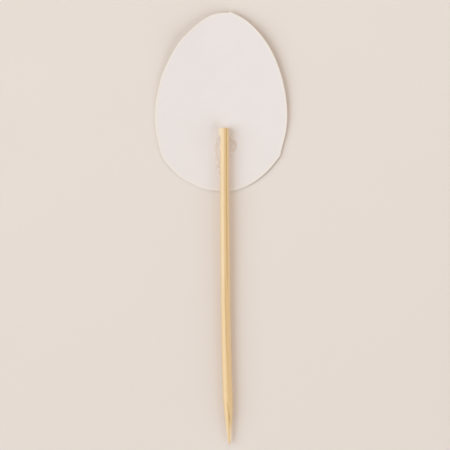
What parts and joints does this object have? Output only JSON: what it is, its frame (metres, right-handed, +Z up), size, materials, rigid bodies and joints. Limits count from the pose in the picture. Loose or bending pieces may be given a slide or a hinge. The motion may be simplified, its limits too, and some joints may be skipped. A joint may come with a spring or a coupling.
{
  "type": "easter egg food pick",
  "caption": "Flat egg cut from white card, curled a little at its crown, glued to a round bamboo pick that stands it up in food.",
  "frame": {"origin": "on the table that the pick lies on, under the middle of its whole length", "axes": "+Y from the pick's tip to the egg's crown, +X across the egg, +Z up from the table and out of the card's back"},
  "size_m": [0.027, 0.0887, 0.0024],
  "materials": {
    "card": "matte",
    "bamboo": "satin",
    "glue": "gloss"
  },
  "bodies": {
    "root": {"egg_card": "card", "bamboo_pick": "bamboo", "glue_dab": "glue"}
  },
  "joints": []
}
